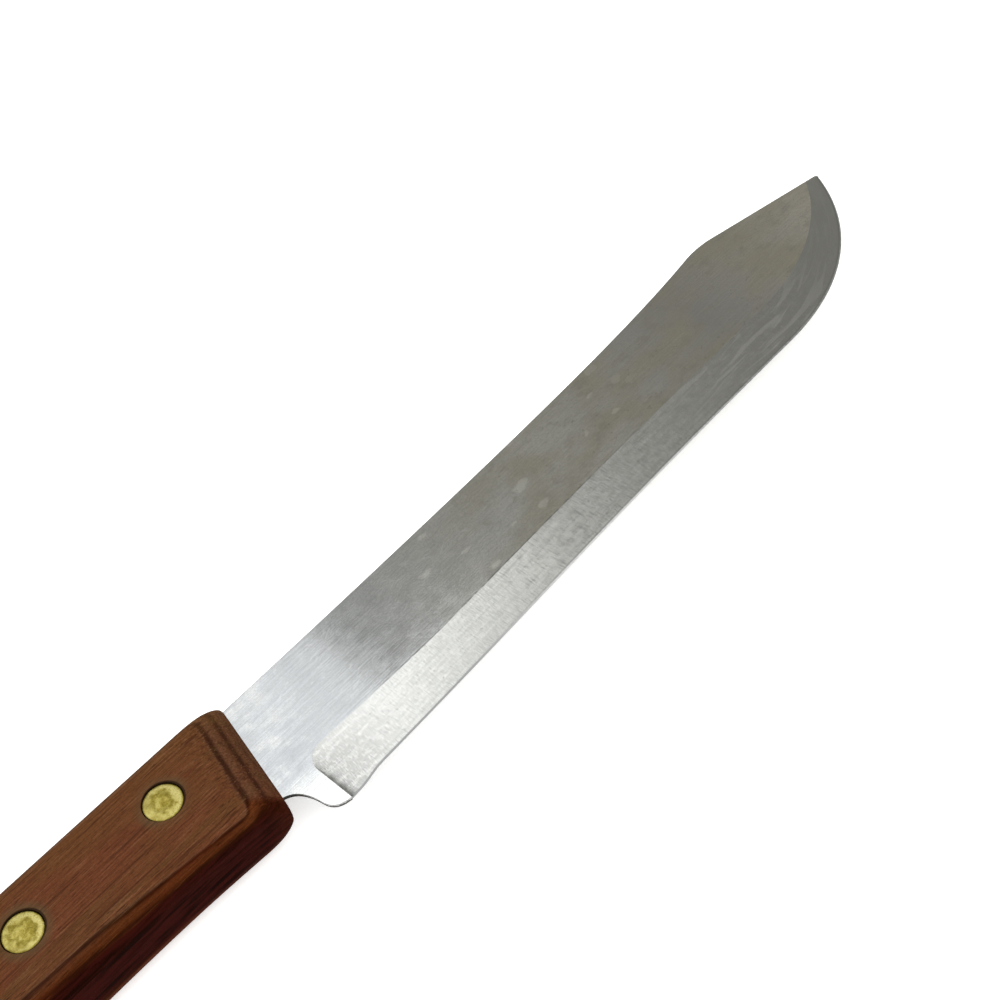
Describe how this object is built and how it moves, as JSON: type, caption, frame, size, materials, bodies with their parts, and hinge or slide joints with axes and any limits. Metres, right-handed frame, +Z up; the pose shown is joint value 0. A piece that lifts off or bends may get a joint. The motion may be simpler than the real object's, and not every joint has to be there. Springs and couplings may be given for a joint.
{
  "type": "carving knife",
  "caption": "Kitchen carving knife: wide stamped steel blade with a clipped point and hollow-ground bevel, in a one-piece slotted wooden handle held by flush brass rivets.",
  "frame": {"origin": "on the plane that the knife lies on, below the middle of its box", "axes": "+X along the blade towards the tip, +Y towards the spine, +Z up through the blade's thickness"},
  "size_m": [0.3152, 0.0416, 0.018],
  "materials": {
    "steel": "brushed, worn satin",
    "wood": "oiled, reddish brown",
    "brass": "dull, filed flush"
  },
  "bodies": {
    "root": {"blade": "steel", "handle": "wood", "rivet_female_front": "brass", "rivet_male_front": "brass", "rivet_female_middle": "brass", "rivet_male_middle": "brass", "rivet_female_rear": "brass", "rivet_male_rear": "brass"}
  },
  "joints": []
}
